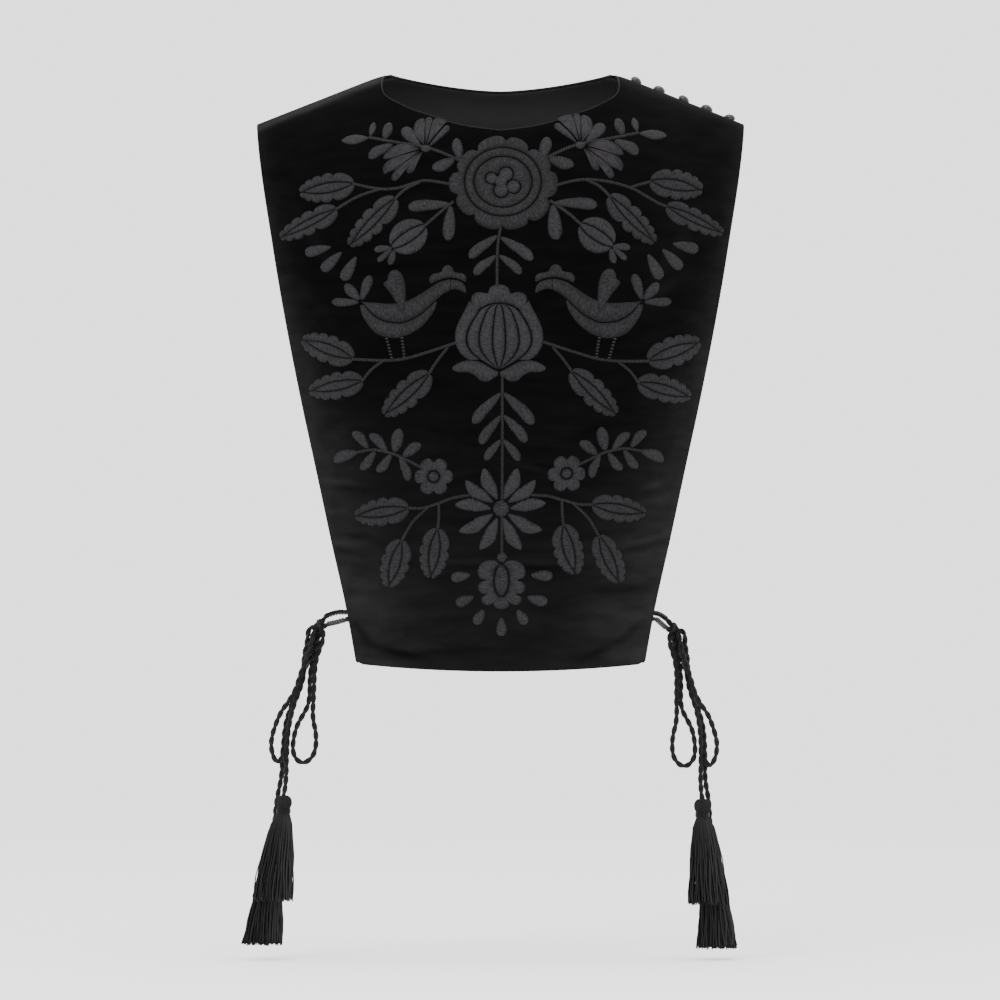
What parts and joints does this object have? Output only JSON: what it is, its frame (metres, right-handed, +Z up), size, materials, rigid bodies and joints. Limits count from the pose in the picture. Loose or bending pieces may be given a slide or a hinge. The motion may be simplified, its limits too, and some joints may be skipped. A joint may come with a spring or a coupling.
{
  "type": "embroidered folk vest",
  "caption": "Cropped open-sided velvet folk vest with padded floral and bird embroidery, a buttoned shoulder and corded side ties ending in tassels.",
  "frame": {"origin": "midway between the middles of the two shoulder lines, where the wearer's shoulders carry the vest", "axes": "+Z up, the front faces -Y, +X to the right seen from the front"},
  "size_m": [0.4012, 0.2154, 0.6968],
  "materials": {
    "velvet": "black cotton velvet with charcoal padded satin-stitch embroidery",
    "satin_lining": "dark grey satin lining",
    "button": "glossy black domed shank button",
    "cord": "black two-ply twisted cord",
    "tassel": "black bound tassel threads"
  },
  "bodies": {
    "root": {"front_panel": "velvet", "back_panel": "velvet", "back_lining": "satin_lining", "shoulder_button_1": "button", "shoulder_button_2": "button", "shoulder_button_3": "button", "shoulder_button_4": "button", "shoulder_button_5": "button", "button_loop_1": "cord", "button_loop_2": "cord", "button_loop_3": "cord", "button_loop_4": "cord", "button_loop_5": "cord", "tie_front_strand_left": "cord", "tie_back_strand_left": "cord", "tie_inner_loop_left": "cord", "tie_outer_loop_left": "cord", "tie_front_tail_left": "cord", "tie_back_tail_left": "cord", "tie_front_strand_right": "cord", "tie_back_strand_right": "cord", "tie_inner_loop_right": "cord", "tie_outer_loop_right": "cord", "tie_front_tail_right": "cord", "tie_back_tail_right": "cord", "tie_knot_left": "cord", "tie_knot_right": "cord", "tassel_front_left": "tassel", "tassel_back_left": "tassel", "tassel_front_right": "tassel", "tassel_back_right": "tassel"}
  },
  "joints": []
}
